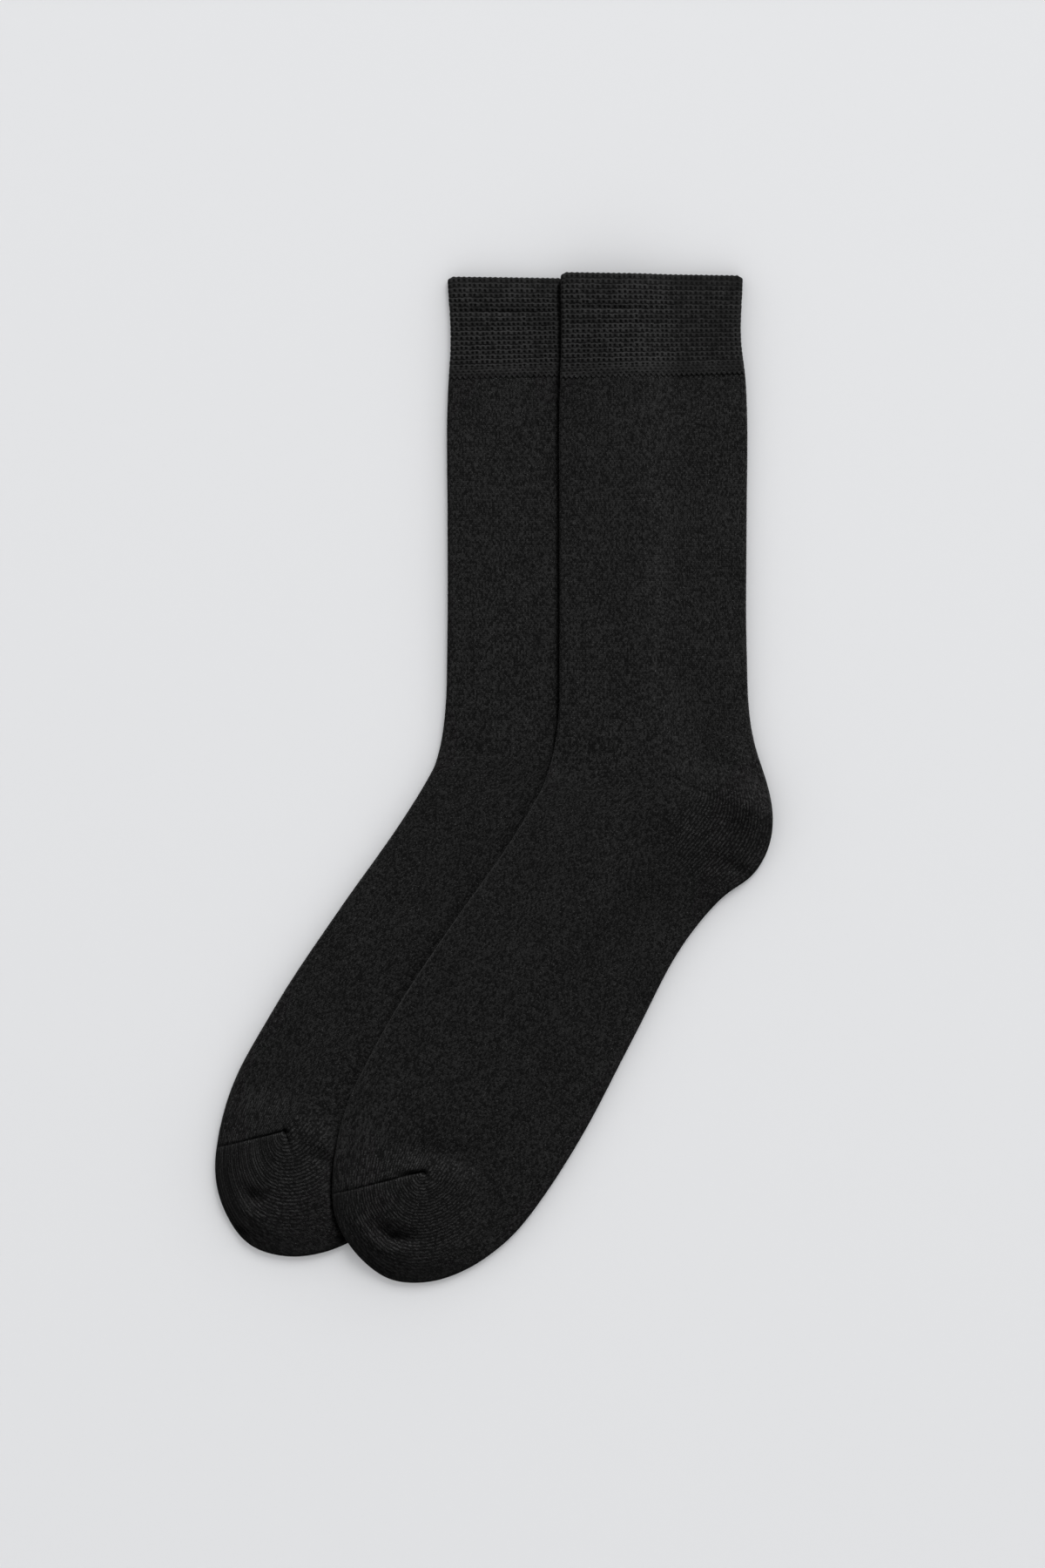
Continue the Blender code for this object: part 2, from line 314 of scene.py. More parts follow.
def addSheet(bm, place, uv, layerNames=(), layerValues=()):
    # a grid of the given places, with its wale and course numbers as its UV map
    rows, columns = place.shape[:2]
    uvLayer = bm.loops.layers.uv.verify()
    layers = [bm.verts.layers.float.get(name) or bm.verts.layers.float.new(name) for name in layerNames]
    made = bmesh.ops.create_grid(bm, x_segments=columns - 1, y_segments=rows - 1, size=0.5)["verts"]
    spot = {}
    for vertex in made:
        spot[vertex] = (round((vertex.co.y + 0.5) * (rows - 1)), round((vertex.co.x + 0.5) * (columns - 1)))
    for face in {face for vertex in made for face in vertex.link_faces}:
        for loop in face.loops:
            loop[uvLayer].uv = uv[spot[loop.vert]]
    for vertex in made:
        vertex.co = place[spot[vertex]]
        for layer, values in zip(layers, layerValues):
            vertex[layer] = values[spot[vertex]]


# jersey: leg, heel pocket, foot and toe pocket in one shell

jersey = {
    "flatColumns": 30,  # per quarter of a course, up to the fold
    "foldColumns": 6,
    "legStep": 2.6 * mm,
    "footStep": 2.4 * mm,
    "pocketStep": 1.3 * mm,  # along the pocket's folded edge
    "nearSeam": (0.0, 0.3, 0.6, 1.0, 1.6, 2.6),  # mm, extra courses beside a seam or gore
    "cuffTuck": 2.0 * mm,  # how far the leg runs up behind the cuff's last course
    "crownRun": 11.0 * mm,  # from the outline to where the top layer is at its full height
    "crown": 0.35 * mm,
    "heelCrown": (1.3 * mm, (28, -16), 42),  # height, its middle from the gore's end and its reach in mm
    "toeCrown": (3.0 * mm, (-10, -22), 46),
    "paintedShadeWidth": 0.8,  # the painted shade's width, as a share of a fold's width
    "footDarkening": 0.13,
    "rimPaintedShade": 0.5,  # painted shade along the toe's rim, on the side of this heading
    "rimHeading": -115,
    "rimRun": 8.5 * mm,
    "seamRise": (-0.35, -0.6, -1.3),  # mm, the linked toe seam sinks deeper towards the pocket's corner
    # shade painted into the toe seam's colour, at its start, middle and end
    "paintedSeamShade": (0.4, 0.5, 0.85),
    "tuckThin": 0.7,  # how much thinner the leg is behind the cuff
    # how plainly the wales show, and where the knit is stretched open: round a point in mm, and its reach
    "closed": 0.05,
    "openHeel": ((22, -28), 33),
    "openToe": ((-8, -16), 42),
}
# Soft folds, in mm from the gore's end (heel) or the toe pocket's corner. Each has its line, its rise at the
# line's start, middle and end, its width, and the shade painted into the knit's colour along it at the line's
# start, middle and end.
heelFolds = (
    fold(((0, 0), (24, -11.5), (47, -24)), (-0.3, -0.2, -0.15), 0.8, (0.4, 0.25, 0.25)),
    fold(((32, -14), (40, -19), (48, -23)), (-0.05, -0.12, -0.1), 2.0),
    fold(((26, -10), (37, -15), (46, -20)), (0.3, 2.6, 1.4), 8.5),
    fold(((8, 10), (20, 7), (32, 3)), (-0.3, -1.3, -0.5), 7.5),
    fold(((28, -42), (33, -44.5), (38, -46)), (-0.3, -0.6, -0.3), 1.5, (0.1, 0.3, 0.2)),
    fold(((14, -38), (24, -40), (32, -43)), (-0.1, -0.5, -0.3), 4.0),
    fold(((16, -54), (22, -50), (30, -50)), (0.2, 0.7, 0.3), 4.0),
    fold(((-14, 30), (-11, -2), (-20, -38)), (0.0, 0.45, 0.0), 6.5),
    fold(((-60, 12), (-45, 2), (-30, 6)), (0.0, -0.5, 0.0), 7.0),
)
lowerToeFolds = (
    fold(((-3, 5.5), (0, 0), (2.2, -7)), (-0.8, -1.1, -0.6), 0.7, (0.6, 0.85, 0.4)),
    fold(((7, 1), (15, -3), (25, -10)), (0.5, 1.2, 0.8), 4.2),
    fold(((10, -12), (18, -13), (24, -18)), (-0.3, -0.8, -0.5), 3.6, (0.15, 0.3, 0.25)),
    fold(((-20, -28), (-15, -31), (-9, -31)), (-0.6, -1.8, -0.5), 3.2, (0.1, 0.35, 0.1)),
    fold(((-25, -33), (-20, -38), (-13, -42)), (0.5, 1.5, 0.4), 3.0),
    fold(((-26, -42), (-20, -46), (-12, -48)), (-0.4, -1.4, -0.3), 2.6),
    fold(((-33, 12), (-14, 18), (4, 15)), (-0.1, -0.6, -0.1), 6.0),
    fold(((-20, -8), (-14, -18), (-14, -24)), (0.1, 0.3, 0.1), 4.5),
    fold(((2, -16), (9, -22), (14, -32)), (0.0, -0.2, 0.0), 9.0, (0.2, 0.25, 0.2)),
)
upperToeFolds = (
    fold(((-14, -2), (0, 0), (1.5, -2.5)), (-0.3, -1.2, -0.7), 0.9, (0.3, 0.95, 0.5)),
    fold(((-2, -3), (1, -10), (-1, -16)), (-0.7, -0.6, -0.1), 2.6),
    fold(((-24, -25), (-15, -30), (-3, -32)), (-0.8, -2.8, -0.9), 3.4, (0.15, 0.42, 0.2)),
    fold(((-24, -34), (-15, -38), (-4, -37)), (0.3, 1.0, 0.3), 3.2),
    fold(((-20, 9), (2, 9.5), (22, 4)), (-0.3, -2.2, -0.5), 6.0, (0.1, 0.3, 0.1)),
    fold(((2, 3), (14, -1), (26, -8)), (0.3, 0.9, 0.2), 5.0),
    fold(((-28, -8), (-18, -14), (-12, -22)), (0.2, 0.6, 0.2), 5.0),
)


def quarterShares(half, halfThick):
    # evenly over the flat, closer round the fold
    foldShare = halfThick * math.pi / 2 / half
    flat = np.linspace(0, 1 - foldShare, jersey["flatColumns"] + 1)
    return np.concatenate([flat, np.linspace(1 - foldShare, 1, jersey["foldColumns"] + 1)[1:]])


def rowNumbers(path, fromRow, toRow, step, nearStart=(), nearEnd=()):
    # fractional rows about a step apart along a path, and closer beside a seam at either end
    numbers = np.linspace(fromRow, toRow, 60 * int(round(toRow - fromRow)) + 1)
    places = smoothPath(path, numbers)
    run = np.concatenate([[0], np.cumsum(np.linalg.norm(np.diff(places, axis=0), axis=1))])
    near = np.array(nearStart) * mm
    far = run[-1] - np.array(nearEnd)[::-1] * mm
    first = near[-1] if len(near) else 0
    last = far[0] if len(far) else run[-1]
    even = np.linspace(first, last, max(2, math.ceil((last - first) / step) + 1))
    stops = np.concatenate([near[:-1], even, far[1:]])
    return np.interp(stops, run, numbers)


def layDown(plan, halfThick, folds, place, facing):
    # lays a sheet of places on what is below it, with its crown, soft folds and broad waves
    points = place[..., :2].reshape(-1, 2)
    up = facing[..., 2].reshape(-1)
    terms = np.zeros(len(points))
    for origin, rows in folds:
        terms += foldTerms(rows, origin, points)
    x, y = points.T / mm
    wave = np.sin(x / 13 + 0.7 * np.sin(y / 31)) * np.sin(y / 37 + 1.3) + 0.6 * np.sin(x / 7.3 - y / 19 + 2)
    pressed = pressedUnder(plan["above"], points)
    free = terms + knit["waveHeight"] * wave + crownHeights(plan, points)
    onTop = free * (1 - pressed) - knit["pressDepth"] * pressed
    # the two layers stay apart: the top one stops short, and the lower one creases up only as far as it can
    room = 2 * (halfThick - knit["jerseyWall"]) - knit["layerGap"]
    onTop = np.maximum(onTop, 0.1 * onTop - 0.9 * room)
    creased = np.minimum(-np.minimum(terms, 0) * 0.8 * (1 - pressed), np.maximum(onTop + room, 0) * 0.8)
    shift = np.where(up > 0, onTop * soft(up * 1.2), creased * soft(-up * 1.2))
    result = place.copy()
    result[..., 2] += halfThick + (shift + liftOver(plan["below"], points)).reshape(place.shape[:2])
    return result


def finishShell(bm, name, material):
    bmesh.ops.remove_doubles(bm, verts=bm.verts, dist=0.002 * mm)
    bmesh.ops.recalc_face_normals(bm, faces=bm.faces)
    mesh = bpy.data.meshes.new(name)
    bm.to_mesh(mesh)
    bm.free()
    mesh.shade_smooth()
    mesh.materials.append(material)
    piece = bpy.data.objects.new(name, mesh)
    bpy.context.scene.collection.objects.link(piece)
    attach(piece, "root")
    return piece


def pocketSheet(plan, corner, fromPoint, toPoint, shares, nearEnd=()):
    # a pocket's courses, from its corner to the folded edge, with its wale and course numbers
    halfThick = plan["thick"] / 2
    numbers = rowNumbers(plan["outline"], fromPoint, toPoint, jersey["pocketStep"], (), nearEnd)
    edge = smoothPath(plan["outline"], numbers)
    place, facing, half = courseSheet(np.repeat(corner[None], len(edge), axis=0), edge, shares, halfThick)
    away = edge - corner
    turned = -np.unwrap(np.arctan2(away[:, 1], away[:, 0]))
    turned = turned - turned[0]
    wales = quarterWales(shares)
    reach = np.concatenate([shares, shares[-2::-1]])[None, :] * half[:, None]
    uv = np.empty(place.shape[:2] + (2,))
    uv[..., 0] = wales
    uv[..., 1] = turned[:, None] * reach / knit["coursePitch"]
    return place, facing, uv


def openness(plan, points):
    # how plainly the wales show: the knit is stretched open over the heel and the toe
    total = np.full(len(points), jersey["closed"])
    for corner, (middle, reach) in (("goreEnd", jersey["openHeel"]), ("toeCorner", jersey["openToe"])):
        gap = np.linalg.norm(points - plan[corner] - np.array(middle) * mm, axis=1) / mm
        total += soft(1.6 - 1.6 * gap / reach)
    return np.minimum(total, 1)


def paintedSeamShade(plan, folds, points):
    # Up to 1 where shade is painted into the colour: in the bottom of a seam or crease, and along the toe's
    # rim on its side turned from the light. Below the ankle the foot is made a bit darker than the leg.
    downFoot = (plan["goreEnd"][1] - points[:, 1]) / mm
    shade = jersey["footDarkening"] * soft(downFoot / 50 + 0.5)
    toRim = (plan["toeCorner"] - points) @ headingVector(jersey["rimHeading"]) / mm
    rim = soft(1 - insideOf(plan["outline"], points) / jersey["rimRun"])
    shade = np.maximum(shade, jersey["rimPaintedShade"] * rim * soft((-toRim - 5) / 25))
    for origin, rows in folds:
        for row in rows:
            darkening = fold(row["line"], row["shade"], row["width"] * jersey["paintedShadeWidth"])
            shade = np.maximum(shade, foldTerms((darkening,), origin, points) / mm)
    return shade


def makeJersey(sockName, toeFolds, material):
    plan = plans[sockName]
    halfThick = plan["thick"] / 2
    shares = quarterShares(45 * mm, halfThick)
    wales = quarterWales(shares)
    ringWales = np.concatenate([-wales[::-1], wales[1:]])
    seamEnd = (plan["outline"][plan["toeEnd"]] - plan["toeCorner"]) / mm
    seam = fold((seamEnd, (0, 0)), jersey["seamRise"], 0.6, jersey["paintedSeamShade"])
    folds = ((plan["goreEnd"], heelFolds), (plan["toeCorner"], toeFolds + (seam,)))
    pitch = knit["coursePitch"]
    bm = bmesh.new()

    def tube(fromRow, toRow, shift, step, nearEnd=()):
        rows = rowNumbers(plan["side"], fromRow, toRow, step, (), nearEnd)
        place, facing = tubeSheet(plan, rows, shift, shares, halfThick)
        side = smoothPath(plan["side"], rows)
        run = np.concatenate([[0], np.cumsum(np.linalg.norm(np.diff(side, axis=0), axis=1))])
        uv = np.empty(place.shape[:2] + (2,))
        uv[..., 0] = ringWales
        uv[..., 1] = run[:, None] / pitch
        return place, facing, uv

    tuckRows = jersey["cuffTuck"] / np.linalg.norm(plan["side"][1] - plan["side"][0])
    legPlace, legFacing, legUv = tube(plan["cuffBase"] - tuckRows, plan["ankle"], 0, jersey["legStep"])
    legPlace[0, :, 2] *= jersey["tuckThin"]
    footShift = plan["footStart"] - plan["ankle"]
    sheets = [
        (legPlace, legFacing, legUv),
        tube(plan["ankle"], plan["toeSeam"], footShift, jersey["footStep"], jersey["nearSeam"]),
        pocketSheet(plan, plan["goreEnd"], plan["ankle"], plan["footStart"], shares),
        pocketSheet(plan, plan["toeCorner"], plan["toeStart"], plan["toeEnd"], shares, jersey["nearSeam"]),
    ]
    for place, facing, uv in sheets:
        points = place[..., :2].reshape(-1, 2)
        shown = openness(plan, points).reshape(place.shape[:2])
        # shade painted into seams, creases and the toe's rim, and the foot's darker tone, kept as the depth
        # attribute
        darkening = paintedSeamShade(plan, folds, points).reshape(place.shape[:2])
        laid = layDown(plan, halfThick, folds, place, facing)
        addSheet(bm, laid, uv, ("openness", "depth"), (shown, darkening))
    piece = finishShell(bm, f"{sockName}_jersey", material)
    wall = piece.modifiers.new("wall", "SOLIDIFY")
    wall.thickness = knit["jerseyWall"]
    wall.offset = -1
    wall.use_even_offset = False
    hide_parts(*(f"{sockName}_{part}" for part in ("leg", "heel", "foot", "toe")))
    return piece


# cuff: a mesh knit of raised loops round small eyelets

cuff = {
    "cellsPerQuarter": 18,
    "cells": 21,  # loops from the rim to the jersey
    "cellColumns": 7,
    "cellRows": 8,
    "wall": 1.2 * mm,
    "loopHeight": 0.17 * mm,
    "holeDepth": 0.25 * mm,
    "slantCells": 2.4,  # rows of slanting stitches at the foot of the cuff
    "rimLift": 0.5 * mm,
    "scallop": 0.3 * mm,
    "tooth": 1.1 * mm,  # the last loops reach down into the jersey in turn
    "cornerDrop": 1.3 * mm,  # the rim is rounded down where it folds
    "cornerCells": 1.6,
}
cuffFolds = (
    fold(((-44, -14.5), (-10, -15.5), (12, -14.5)), (-0.25, -0.5, -0.1), 1.5),
    fold(((-4, -10), (16, -9.5), (34, -11.5)), (-0.05, -0.15, -0.15), 1.3),
    fold(((2, -6.5), (20, -6), (36, -7)), (-0.05, -0.12, -0.1), 1.3),
    fold(((-44, -23), (-20, -23), (20, -22)), (-0.1, -0.25, -0.05), 1.5),
    fold(((-44, -46), (0, -47), (20, -45)), (-0.2, -0.3, -0.05), 2.0),
)


def scatter(i, j, seed):
    # the same odd number between 0 and 1 for a cell, each time
    value = np.sin(i * 127.1 + j * 311.7 + seed * 74.7) * 43758.5453
    return value - np.floor(value)


def loopCell(u, v):
    # height of a row of loops, in shares of a loop, at cell numbers u along it and v down it
    i, j = np.floor(u), np.floor(v)
    x = u - i
    i = i % (4 * cuff["cellsPerQuarter"])  # the ring of loops closes on itself
    x = x + (scatter(i, j, 1) - 0.5) * 0.3
    y = v - j + (scatter(i, j, 2) - 0.5) * 0.1
    arch = np.sqrt(((x - 0.5) / 0.44) ** 2 + (np.minimum(y - 0.5, 0) / 0.32) ** 2) - 1
    loop = np.exp(-((arch * 0.38 / 0.2) ** 2))
    hole = np.exp(-(((x - 0.5) / 0.25) ** 2) - ((y - 0.64) / 0.16) ** 2) * (0.7 + 0.6 * scatter(i, j, 5))
    groove = np.exp(-((np.minimum(y, 1 - y) / 0.15) ** 2)) * (0.55 + 0.6 * scatter(i, j, 4))
    size = 0.45 + 1.1 * scatter(i, j, 3)
    return loop * size - cuff["holeDepth"] / cuff["loopHeight"] * hole - groove


def loopRelief(u, v):
    # flatter loops under the rim and on the stretched half at the back, and tighter rows in brick order where
    # the cuff meets the jersey
    top = 0.65 + 0.35 * soft((v - 0.5) / 3.5)
    tight = (v - cuff["cells"] + cuff["slantCells"]) * 1.6
    brick = loopCell(u + 0.5 * (np.floor(tight) % 2), tight)
    join = soft(tight * 3)
    stretched = soft(u / 6) * soft((4 * cuff["cellsPerQuarter"] / 2 - u) / 6)
    relief = loopCell(u, v) * top * (1 - join) + (brick * 0.6 + 0.15) * join
    return relief * (1 - 0.35 * stretched) - 0.12 * stretched


def makeCuff(sockName, material):
    plan = plans[sockName]
    halfThick = plan["cuffThick"] / 2
    perQuarter = cuff["cellsPerQuarter"] * cuff["cellColumns"]
    shares = np.linspace(0, 1, perQuarter + 1)
    cells = np.linspace(0, cuff["cells"], cuff["cells"] * cuff["cellRows"] + 1)
    rows = cells / cuff["cells"] * plan["cuffBase"]
    place, facing = tubeSheet(plan, rows, 0, shares, halfThick - cuff["loopHeight"] * 0.6)
    quarter = quarterWales(shares) / knit["walesPerQuarter"] * cuff["cellsPerQuarter"]
    around = np.concatenate([-quarter[::-1], quarter[1:]])
    uGrid, vGrid = np.meshgrid(around, cells)
    # read between the grid's lines, so that no cell's border falls on a line
    relief = loopRelief(uGrid + 0.5 / cuff["cellColumns"], vGrid + 0.5 / cuff["cellRows"])
    top = plan["side"][0]
    toEdge = cuff["cellsPerQuarter"] - np.abs(uGrid)
    corner = cuff["cornerDrop"] * (1 - soft(np.abs(toEdge) / cuff["cornerCells"]))
    scallop = cuff["scallop"] * np.cos(np.pi * (uGrid % 1 - 0.5)) ** 2 * (vGrid < 0.3)
    place[..., 1] += (cuff["rimLift"] - corner) * (1 - soft(vGrid / 5)) + scallop
    tooth = np.abs((uGrid % 1) * 2 - 1)
    place[..., 1] += cuff["tooth"] * (tooth - 0.5) * soft(vGrid - cuff["cells"] + 1)
    outer = place + facing * (relief * cuff["loopHeight"] * soft(vGrid * 2 + 0.2))[..., None]
    innerRows = [len(cells) - 1, len(cells) * 2 // 3, len(cells) // 3, 6, 1]
    inner = (place - facing * cuff["wall"])[innerRows]
    rim = (place[:1] + inner[-1:]) / 2 + np.array([0, 0.45 * mm, 0])
    sheet = np.concatenate([outer, inner, rim, outer[:1]])
    ways = np.concatenate([facing, facing[innerRows], facing[:1], facing[:1]])
    folds = ((top, cuffFolds),)
    uv = np.stack([np.concatenate([g, g[innerRows], g[:1], g[:1]]) for g in (uGrid, vGrid)], axis=-1)
    height = np.concatenate([relief, relief[innerRows] * 0, relief[:1] * 0, relief[:1]])
    bm = bmesh.new()
    laid = layDown(plan, halfThick, folds, sheet, ways)
    laid[..., 2] = np.maximum(laid[..., 2], 0)
    addSheet(bm, laid, uv, ("loopHeight",), (height,))
    piece = finishShell(bm, f"{sockName}_cuff_knit", material)
    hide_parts(f"{sockName}_cuff")
    return piece


# finishes

jerseyLook = {
    "groove": 0.0004,  # albedo deep between the wales, where the painted shade is darkest
    "wale": 0.0045,
    "plain": 0.62,  # share of the wale's albedo where the knit is closed
    "paintedGapShade": 1.5,  # how far the wales stand out where it is open, by shade painted between them
    "ridgeMean": 0.71,
    "fibre": 0.04,
    "bumpDepth": 0.14 * mm,
    "roughness": 0.85,
    "sheen": 0.012,
    "specular": 0.025,
}
cuffLook = {
    # the cuff's colour runs from hole to loop with its relief: shade painted into the eyelets and between the
    # rows
    "hole": 0.0004,
    "loop": 0.0096,
    "fibre": 0.03,
    "bumpDepth": 0.12 * mm,
    "roughness": 0.85,
    "sheen": 0.012,
    "specular": 0.025,
}


class Shader:
    # short ways of adding nodes to a material
    def __init__(self, name):
        self.material = bpy.data.materials.new(name)
        self.material.use_nodes = True
        self.tree = self.material.node_tree
        self.principled = self.tree.nodes["Principled BSDF"]

    def add(self, kind, inputs=(), **settings):
        node = self.tree.nodes.new(kind)
        for setting, value in settings.items():
            setattr(node, setting, value)
        for key, value in dict(inputs).items():
            self.feed(value, node.inputs[key])
        return node

    def feed(self, value, socket):
        if hasattr(value, "is_output"):
            self.tree.links.new(value, socket)
        else:
            socket.default_value = value

    def maths(self, operation, *values):
        return self.add("ShaderNodeMath", dict(enumerate(values)), operation=operation).outputs[0]

    def between(self, value, fromLow, fromHigh, toLow, toHigh):
        node = self.add("ShaderNodeMapRange", {"Value": value, "From Min": fromLow, "From Max": fromHigh})
        node.inputs["To Min"].default_value = toLow
        node.inputs["To Max"].default_value = toHigh
        return node.outputs["Result"]

    def noise(self, vector, scale, detail=2.0):
        inputs = {"Vector": vector, "Scale": scale, "Detail": detail}
        return self.add("ShaderNodeTexNoise", inputs).outputs["Fac"]

    def grey(self, value):
        inputs = {"Red": value, "Green": value, "Blue": value}
        return self.add("ShaderNodeCombineColor", inputs).outputs["Color"]


def clothShader(name, look):
    shader = Shader(name)
    shader.principled.inputs["Roughness"].default_value = look["roughness"]
    shader.principled.inputs["Specular IOR Level"].default_value = look["specular"]
    shader.principled.inputs["Sheen Weight"].default_value = look["sheen"]
    shader.principled.inputs["Sheen Roughness"].default_value = 0.6
    coordinates = shader.add("ShaderNodeTexCoord")
    return shader, coordinates.outputs["Object"], coordinates.outputs["UV"]


def finishCloth(shader, albedo, height, depth):
    shader.feed(shader.grey(albedo), shader.principled.inputs["Base Color"])
    bump = shader.add("ShaderNodeBump", {"Height": height, "Distance": depth, "Strength": 1.0})
    shader.feed(bump.outputs["Normal"], shader.principled.inputs["Normal"])
    return shader.material


def makeJerseyMaterial():
    look = jerseyLook
    shader, place, uv = clothShader("black_jersey", look)
    maths = shader.maths
    # the yarn wanders a little, so the wales aren't ruled lines
    wander = maths("MULTIPLY", maths("SUBTRACT", shader.noise(place, 900), 0.5), 0.5)
    split = shader.add("ShaderNodeSeparateXYZ", {"Vector": uv})
    wale = maths("ADD", split.outputs["X"], wander)
    course = maths("ADD", split.outputs["Y"], wander)
    fromMiddle = maths("MULTIPLY", maths("ABSOLUTE", maths("SUBTRACT", maths("FRACT", wale), 0.5)), 2.0)
    slope = maths("ADD", course, maths("MULTIPLY", fromMiddle, 0.5))
    alongStitch = maths("MULTIPLY", maths("ABSOLUTE", maths("SUBTRACT", maths("FRACT", slope), 0.5)), 2.0)
    ridge = maths("SUBTRACT", 1.0, maths("POWER", fromMiddle, 2.0))
    opened = shader.add("ShaderNodeAttribute", attribute_name="openness").outputs["Fac"]
    waleHeight = maths("MULTIPLY", ridge, shader.between(opened, 0.0, 1.0, 0.3, 0.75))
    courseHeight = maths("MULTIPLY", maths("SUBTRACT", 1.0, alongStitch), 0.35)
    height = maths("ADD", waleHeight, courseHeight)
    # painted shade between the wales: the colour darkens into the gaps and lightens on the wales' crowns,
    # more where the knit is stretched open
    contrast = maths("MULTIPLY", opened, look["paintedGapShade"])
    gapShadeSwing = maths("MULTIPLY", maths("SUBTRACT", ridge, look["ridgeMean"]), contrast)
    paintedGapShade = maths("ADD", look["plain"], gapShadeSwing)
    # each leg of a stitch is lighter or darker than its neighbours, and the whole is softly uneven
    halfWale = maths("FLOOR", maths("MULTIPLY", wale, 2.0))
    stitch = shader.add("ShaderNodeCombineXYZ", {"X": halfWale, "Y": maths("FLOOR", slope)}).outputs["Vector"]
    single = shader.add("ShaderNodeTexWhiteNoise", {"Vector": stitch}).outputs["Value"]
    streaks = shader.add("ShaderNodeMapping", {"Vector": uv, "Scale": (0.9, 0.08, 1.0)}).outputs["Vector"]
    uneven = 0.0
    for value, weight in (
        (shader.noise(place, 2600, 2.0), 5.0),
        (shader.noise(place, 1100, 1.0), 3.6),
        (single, 2.9),
        (shader.noise(streaks, 1.0), 0.2),
        (shader.noise(place, 45, 2.0), 0.9),
    ):
        uneven = maths("ADD", uneven, maths("MULTIPLY", maths("SUBTRACT", value, 0.5), weight))
    amount = maths("MULTIPLY", paintedGapShade, maths("MAXIMUM", maths("ADD", uneven, 1.0), 0.0))
    # the depth attribute darkens the colour: painted shade in seams, creases and along the toe's rim, and the
    # foot's darker tone
    darkening = shader.add("ShaderNodeAttribute", attribute_name="depth").outputs["Fac"]
    amount = maths("MULTIPLY", amount, maths("SUBTRACT", 1.0, darkening))
    albedo = maths("ADD", look["groove"], maths("MULTIPLY", amount, look["wale"]))
    speck = shader.between(shader.noise(place, 2600, 1.0), 0.72, 0.8, 0.0, look["fibre"])
    return finishCloth(shader, maths("ADD", albedo, speck), height, look["bumpDepth"])


def makeCuffMaterial():
    look = cuffLook
    shader, place, uv = clothShader("black_cuff_knit", look)
    maths = shader.maths
    loop = shader.add("ShaderNodeAttribute", attribute_name="loopHeight").outputs["Fac"]
    twist = shader.noise(place, 2200, 2.0)
    uneven = maths("ADD", twist, maths("MULTIPLY", shader.noise(place, 80, 3.0), 0.8))
    # painted shade: the lower the relief, in the eyelets and between the rows, the darker the colour
    shown = shader.between(loop, -0.5, 0.9, 0.0, 1.0)
    amount = maths("MULTIPLY", shown, shader.between(uneven, 0.6, 1.2, 0.5, 1.4))
    albedo = shader.between(amount, 0.0, 1.0, look["hole"], look["loop"])
    speck = shader.between(shader.noise(place, 2600, 1.0), 0.72, 0.8, 0.0, look["fibre"])
    return finishCloth(shader, maths("ADD", albedo, speck), twist, look["bumpDepth"])


jerseyMaterial = makeJerseyMaterial()
cuffMaterial = makeCuffMaterial()
pairPieces = {}
for sockName, toeFolds in (("lower_sock", lowerToeFolds), ("upper_sock", upperToeFolds)):
    pairPieces[sockName] = (
        makeJersey(sockName, toeFolds, jerseyMaterial),
        makeCuff(sockName, cuffMaterial),
    )
    print(sockName, "knitted")


# floor, light and camera

studio = {
    "floor": 0.79,
    "floorSize": 6.0,
    "framedHeight": 738 * mm,
    "framedMiddle": (13.3 * mm, -2.9 * mm),
    "lens": 85,
    # the white tent's light by the sine of its height above the floor: most of it comes in low, all round
    "tent": ((0.0, 5.2), (0.16, 4.6), (0.32, 2.0), (0.6, 0.6), (1.0, 0.45)),
    "tentLight": 0.84,
    # two softboxes at the upper right. The low one is flagged off the floor.
    "softboxes": (
        {"name": "key", "place": (2.4, 5.8, 4.2), "size": 3.8, "power": 240.0, "flagged": False},
        {"name": "rake", "place": (2.1, 5.9, 2.15), "size": 1.9, "power": 1700.0, "flagged": True},
    ),
}


def makeFloor():
    bm = bmesh.new()
    bmesh.ops.create_grid(bm, x_segments=1, y_segments=1, size=studio["floorSize"] / 2)
    mesh = bpy.data.meshes.new("floor")
    bm.to_mesh(mesh)
    bm.free()
    floor = bpy.data.objects.new("floor", mesh)
    floor.location.z = -0.1 * mm
    bpy.context.scene.collection.objects.link(floor)
    shader = Shader("pale_paper")
    shader.principled.inputs["Roughness"].default_value = 0.9
    shader.principled.inputs["Specular IOR Level"].default_value = 0.1
    tint = studio["floor"]
    shader.principled.inputs["Base Color"].default_value = (tint * 0.984, tint * 0.992, tint * 1.012, 1)
    mesh.materials.append(shader.material)


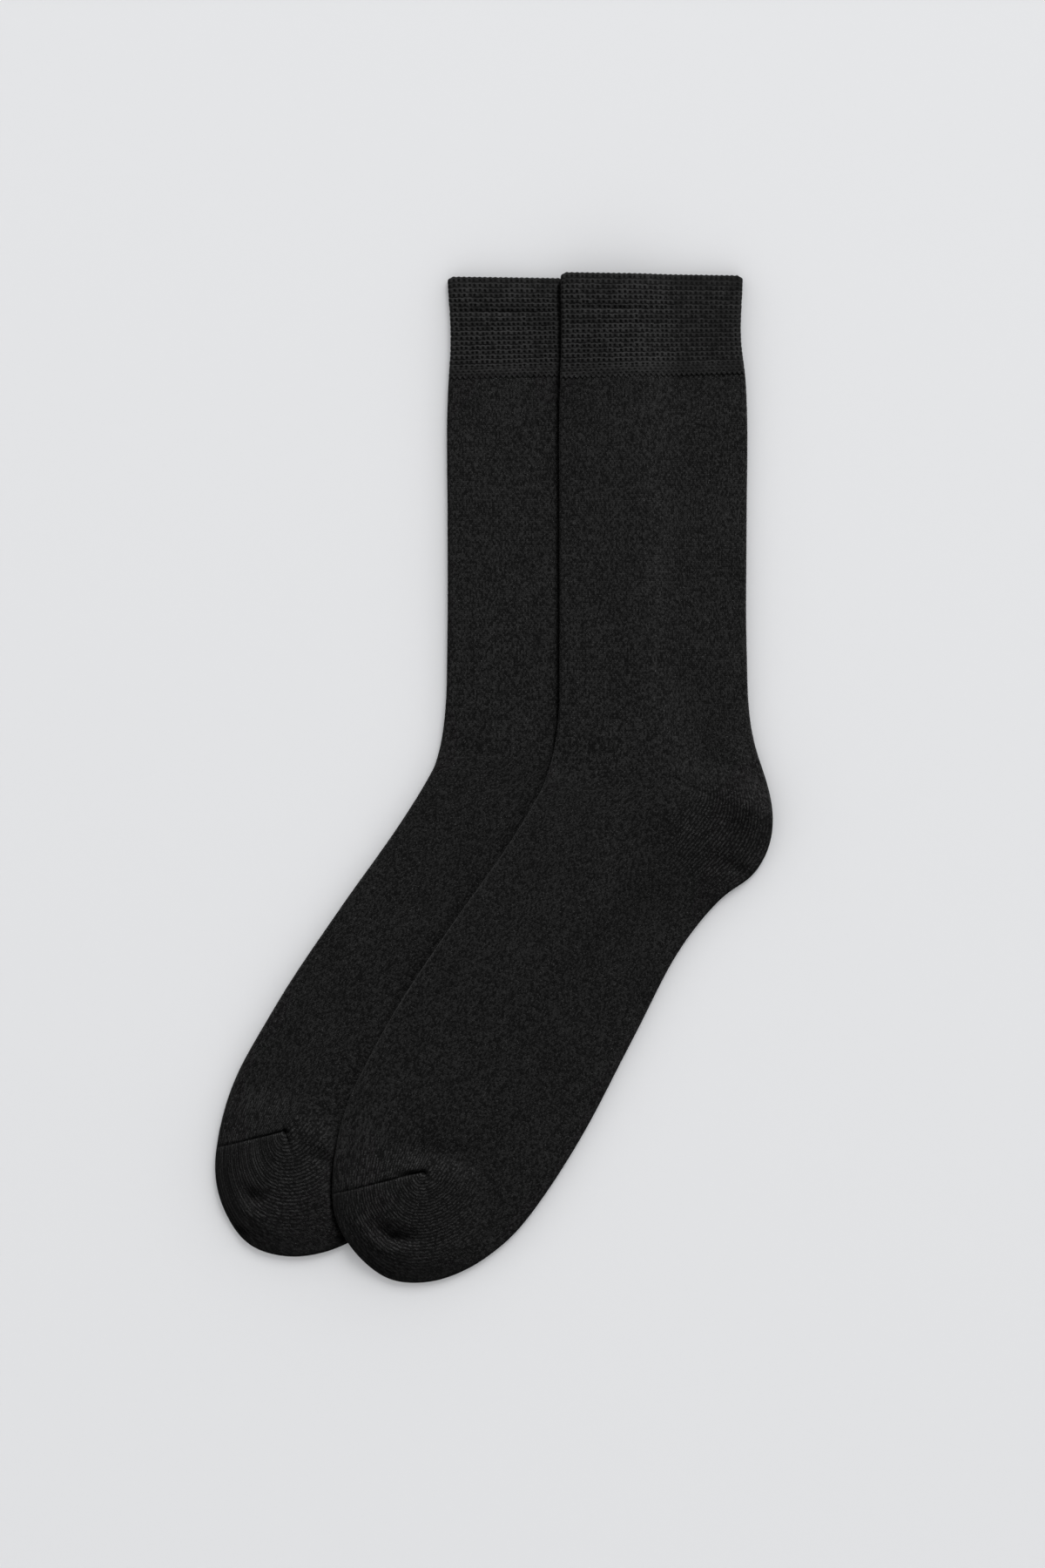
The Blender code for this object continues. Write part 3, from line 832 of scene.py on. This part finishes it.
def makeTent():
    world = bpy.data.worlds.new("tent")
    world.use_nodes = True
    tree = world.node_tree
    direction = tree.nodes.new("ShaderNodeTexCoord").outputs["Generated"]
    height = tree.nodes.new("ShaderNodeSeparateXYZ")
    tree.links.new(direction, height.inputs["Vector"])
    curve = tree.nodes.new("ShaderNodeFloatCurve")
    tree.links.new(height.outputs["Z"], curve.inputs["Value"])
    points = curve.mapping.curves[0].points
    most = max(light for _, light in studio["tent"])
    for k, (sine, light) in enumerate(studio["tent"]):
        point = points[k] if k < 2 else points.new(sine, light / most)
        point.location = (sine, light / most)
    curve.mapping.update()
    strength = tree.nodes.new("ShaderNodeMath")
    strength.operation = "MULTIPLY"
    tree.links.new(curve.outputs["Value"], strength.inputs[0])
    strength.inputs[1].default_value = most * studio["tentLight"]
    tree.links.new(strength.outputs["Value"], tree.nodes["Background"].inputs["Strength"])
    tree.nodes["Background"].inputs["Color"].default_value = (1, 1, 1, 1)
    bpy.context.scene.world = world


def makeSoftbox(row):
    lamp = bpy.data.lights.new(row["name"], "AREA")
    lamp.shape = "SQUARE"
    lamp.size = row["size"]
    lamp.energy = row["power"]
    box = bpy.data.objects.new(row["name"], lamp)
    box.location = row["place"]
    box.rotation_euler = (-Vector(row["place"])).to_track_quat("-Z", "Y").to_euler()
    bpy.context.scene.collection.objects.link(box)
    if row["flagged"]:
        lit = bpy.data.collections.new("lit by " + row["name"])
        for pieces in pairPieces.values():
            for piece in pieces:
                lit.objects.link(piece)
        box.light_linking.receiver_collection = lit


def makeCamera():
    camera = bpy.data.cameras.new("camera")
    camera.lens = studio["lens"]
    camera.sensor_width = 36
    away = studio["framedHeight"] * studio["lens"] / camera.sensor_width
    camera.clip_start = 0.05
    camera.clip_end = 20
    view = bpy.data.objects.new("camera", camera)
    view.location = (*studio["framedMiddle"], away)
    bpy.context.scene.collection.objects.link(view)
    bpy.context.scene.camera = view


makeFloor()
makeTent()
for row in studio["softboxes"]:
    makeSoftbox(row)
makeCamera()
bpy.context.scene.view_settings.view_transform = "Standard"
print("studio set")
